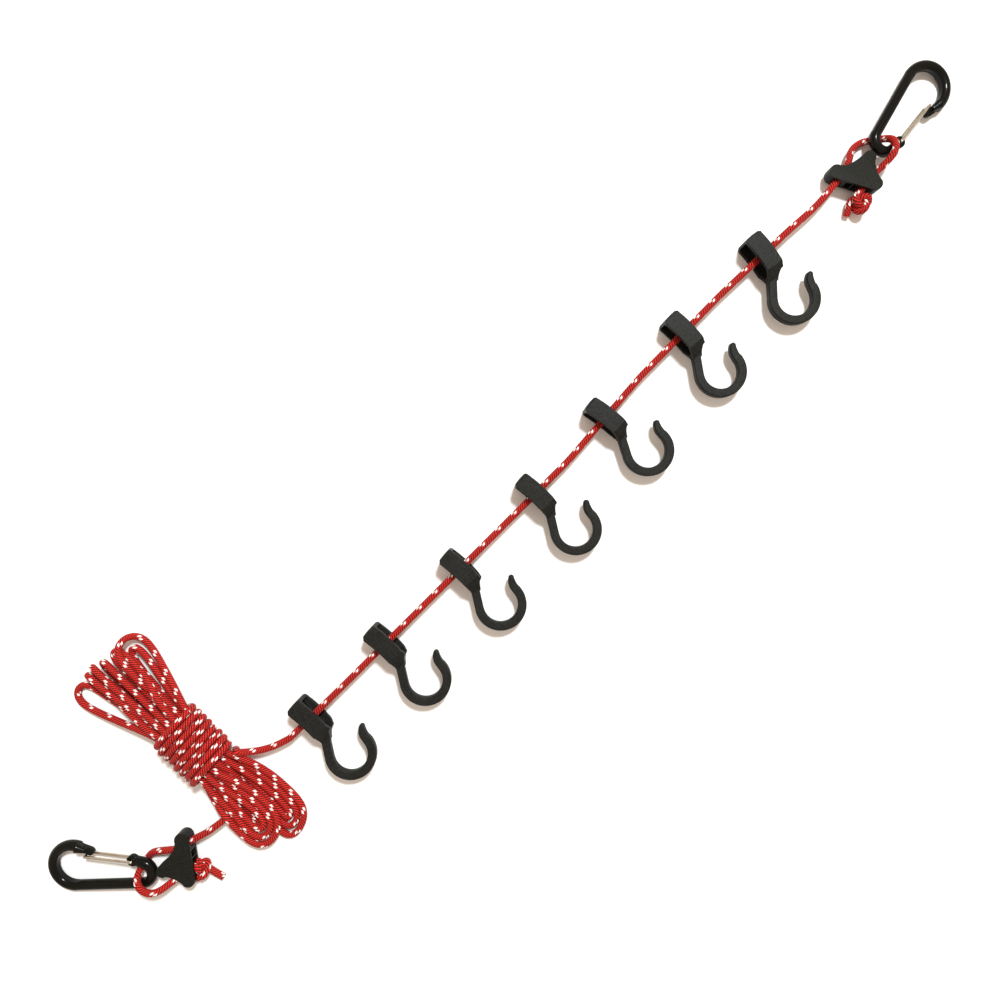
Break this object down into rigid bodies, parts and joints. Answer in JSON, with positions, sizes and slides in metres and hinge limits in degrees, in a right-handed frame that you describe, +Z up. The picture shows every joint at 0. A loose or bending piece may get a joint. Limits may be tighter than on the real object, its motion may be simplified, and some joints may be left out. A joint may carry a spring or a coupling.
{
  "type": "clothesline",
  "caption": "Travel clothesline: braided cord with sliding hooks, a tied hank of spare cord, and a triangular tensioner and snap carabiner at each end.",
  "frame": {"origin": "centre of the middle hook's throat, in the cord's middle plane", "axes": "+X along the line towards end A, +Y from the hooks' throats towards the cord, +Z up from the floor that the line lies on"},
  "size_m": [0.6973, 0.1557, 0.0208],
  "materials": {
    "cord": "braided, satin, red with white flecks",
    "hook_plastic": "matt moulded, charcoal",
    "tensioner_plastic": "matt moulded, charcoal",
    "carabiner_coat": "satin black coat",
    "gate_nickel": "bright nickel"
  },
  "bodies": {
    "span_1": {"line_span_1": "cord"},
    "span_2": {"line_span_2": "cord"},
    "span_3": {"line_span_3": "cord"},
    "span_4": {"line_span_4": "cord"},
    "span_5": {"line_span_5": "cord"},
    "span_6": {"line_span_6": "cord"},
    "span_7": {"line_span_7": "cord"},
    "twist_1": {"line_in_hook_1": "cord"},
    "twist_2": {"line_in_hook_2": "cord"},
    "twist_3": {"line_in_hook_3": "cord"},
    "twist_4": {"line_in_hook_4": "cord"},
    "twist_5": {"line_in_hook_5": "cord"},
    "twist_6": {"line_in_hook_6": "cord"},
    "twist_7": {"line_in_hook_7": "cord"},
    "hook_1": {"hook_1": "hook_plastic"},
    "hook_2": {"hook_2": "hook_plastic"},
    "hook_3": {"hook_3": "hook_plastic"},
    "hook_4": {"hook_4": "hook_plastic"},
    "hook_5": {"hook_5": "hook_plastic"},
    "hook_6": {"hook_6": "hook_plastic"},
    "hook_7": {"hook_7": "hook_plastic"},
    "hank": {"line_into_hank": "cord", "hank_loops": "cord", "hank_wraps": "cord", "line_out_of_hank": "cord"},
    "lead_b": {"line_to_tensioner_b": "cord"},
    "end_a": {"line_to_tensioner_a": "cord"},
    "tensioner_a": {"tensioner_a": "tensioner_plastic", "stopper_knot_a": "cord"},
    "eye_a": {"eye_loop_a": "cord"},
    "carabiner_a": {"carabiner_body_a": "carabiner_coat"},
    "gate_a": {"gate_wire_a": "gate_nickel"},
    "tensioner_b": {"tensioner_b": "tensioner_plastic", "stopper_knot_b": "cord"},
    "eye_b": {"eye_loop_b": "cord"},
    "carabiner_b": {"carabiner_body_b": "carabiner_coat"},
    "gate_b": {"gate_wire_b": "gate_nickel"}
  },
  "joints": [
    {"name": "bend_3_4", "type": "hinge", "parent": "span_4", "child": "span_3", "pos_m": [0.0246, 0.0308, 0], "axis": [0, 0, 1], "range_deg": [-10, 30]},
    {"name": "bend_2_3", "type": "hinge", "parent": "span_3", "child": "span_2", "pos_m": [0.0886, 0.0357, 0], "axis": [0, 0, 1], "range_deg": [-10, 30]},
    {"name": "bend_1_2", "type": "hinge", "parent": "span_2", "child": "span_1", "pos_m": [0.1546, 0.0364, 0], "axis": [0, 0, 1], "range_deg": [-10, 30]},
    {"name": "bend_end_a", "type": "hinge", "parent": "span_1", "child": "end_a", "pos_m": [0.2086, 0.0348, 0], "axis": [0, 0, 1], "range_deg": [-20, 40]},
    {"name": "bend_4_5", "type": "hinge", "parent": "span_4", "child": "span_5", "pos_m": [-0.0324, 0.0308, 0], "axis": [0, 0, -1], "range_deg": [-10, 30]},
    {"name": "bend_5_6", "type": "hinge", "parent": "span_5", "child": "span_6", "pos_m": [-0.0934, 0.0308, 0], "axis": [0, 0, -1], "range_deg": [-10, 30]},
    {"name": "bend_6_7", "type": "hinge", "parent": "span_6", "child": "span_7", "pos_m": [-0.1534, 0.0308, 0], "axis": [0, 0, -1], "range_deg": [-10, 30]},
    {"name": "bend_hank", "type": "hinge", "parent": "span_7", "child": "hank", "pos_m": [-0.2014, 0.0313, 0], "axis": [0, 0, -1], "range_deg": [-10, 30]},
    {"name": "bend_lead_b", "type": "hinge", "parent": "hank", "child": "lead_b", "pos_m": [-0.267, 0.0256, 0], "axis": [0, 0, -1], "range_deg": [-20, 20]},
    {"name": "hook_1_swing", "type": "hinge", "parent": "span_1", "child": "twist_1", "pos_m": [0.1866, 0.03545, 0], "axis": [-0.9996, 0.0296, 0], "continuous": true},
    {"name": "hook_1_slide", "type": "slide", "parent": "twist_1", "child": "hook_1", "axis": [0.9996, -0.0296, 0], "range_m": [-0.01, 0.01]},
    {"name": "hook_2_swing", "type": "hinge", "parent": "span_2", "child": "twist_2", "pos_m": [0.1231, 0.03607, 0], "axis": [-0.9999, -0.0106, 0], "continuous": true},
    {"name": "hook_2_slide", "type": "slide", "parent": "twist_2", "child": "hook_2", "axis": [0.9999, 0.0106, 0], "range_m": [-0.01, 0.01]},
    {"name": "hook_3_swing", "type": "hinge", "parent": "span_3", "child": "twist_3", "pos_m": [0.0576, 0.03333, 0], "axis": [-0.9971, -0.0763, 0], "continuous": true},
    {"name": "hook_3_slide", "type": "slide", "parent": "twist_3", "child": "hook_3", "axis": [0.9971, 0.0763, 0], "range_m": [-0.01, 0.01]},
    {"name": "hook_4_swing", "type": "hinge", "parent": "span_4", "child": "twist_4", "pos_m": [-0.0014, 0.0308, 0], "axis": [-1, 0, 0], "continuous": true},
    {"name": "hook_4_slide", "type": "slide", "parent": "twist_4", "child": "hook_4", "axis": [1, 0, 0], "range_m": [-0.01, 0.01]},
    {"name": "hook_5_swing", "type": "hinge", "parent": "span_5", "child": "twist_5", "pos_m": [-0.0624, 0.0308, 0], "axis": [-1, 0, 0], "continuous": true},
    {"name": "hook_5_slide", "type": "slide", "parent": "twist_5", "child": "hook_5", "axis": [1, 0, 0], "range_m": [-0.01, 0.01]},
    {"name": "hook_6_swing", "type": "hinge", "parent": "span_6", "child": "twist_6", "pos_m": [-0.1234, 0.0308, 0], "axis": [-1, 0, 0], "continuous": true},
    {"name": "hook_6_slide", "type": "slide", "parent": "twist_6", "child": "hook_6", "axis": [1, 0, 0], "range_m": [-0.01, 0.01]},
    {"name": "hook_7_swing", "type": "hinge", "parent": "span_7", "child": "twist_7", "pos_m": [-0.1834, 0.03111, 0], "axis": [-0.9999, 0.0104, 0], "continuous": true},
    {"name": "hook_7_slide", "type": "slide", "parent": "twist_7", "child": "hook_7", "axis": [0.9999, -0.0104, 0], "range_m": [-0.01, 0.01]},
    {"name": "take_up_a", "type": "slide", "parent": "end_a", "child": "tensioner_a", "axis": [-0.9936, -0.1132, 0], "range_m": [0, 0.008]},
    {"name": "eye_shift_a", "type": "slide", "parent": "tensioner_a", "child": "eye_a", "axis": [0.9936, 0.1132, 0], "range_m": [0, 0.004]},
    {"name": "carabiner_a_swing", "type": "hinge", "parent": "eye_a", "child": "carabiner_a", "pos_m": [0.28588, 0.03263, -0.00033], "axis": [0.0781, -0.1312, 0.9883], "range_deg": [-40, 40]},
    {"name": "gate_a_open", "type": "hinge", "parent": "carabiner_a", "child": "gate_a", "pos_m": [0.28958, 0.02575, -0.00153], "axis": [0.0781, -0.1312, 0.9883], "range_deg": [0, 26], "stiffness_Nm_per_rad": 0.002},
    {"name": "take_up_b", "type": "slide", "parent": "lead_b", "child": "tensioner_b", "axis": [0.9724, -0.2334, 0], "range_m": [0, 0.008]},
    {"name": "eye_shift_b", "type": "slide", "parent": "tensioner_b", "child": "eye_b", "axis": [-0.9724, 0.2334, 0], "range_m": [0, 0.004]},
    {"name": "carabiner_b_swing", "type": "hinge", "parent": "eye_b", "child": "carabiner_b", "pos_m": [-0.31741, 0.03841, -0.00033], "axis": [-0.1462, -0.0439, 0.9883], "range_deg": [-40, 40]},
    {"name": "gate_b_open", "type": "hinge", "parent": "carabiner_b", "child": "gate_b", "pos_m": [-0.31393, 0.04545, 0.0005], "axis": [-0.1462, -0.0439, 0.9883], "range_deg": [0, 26], "stiffness_Nm_per_rad": 0.002}
  ],
  "couplings": [
    {"joint": "eye_shift_a", "follows": "take_up_a", "ratio": 0.5},
    {"joint": "eye_shift_b", "follows": "take_up_b", "ratio": 0.5}
  ]
}
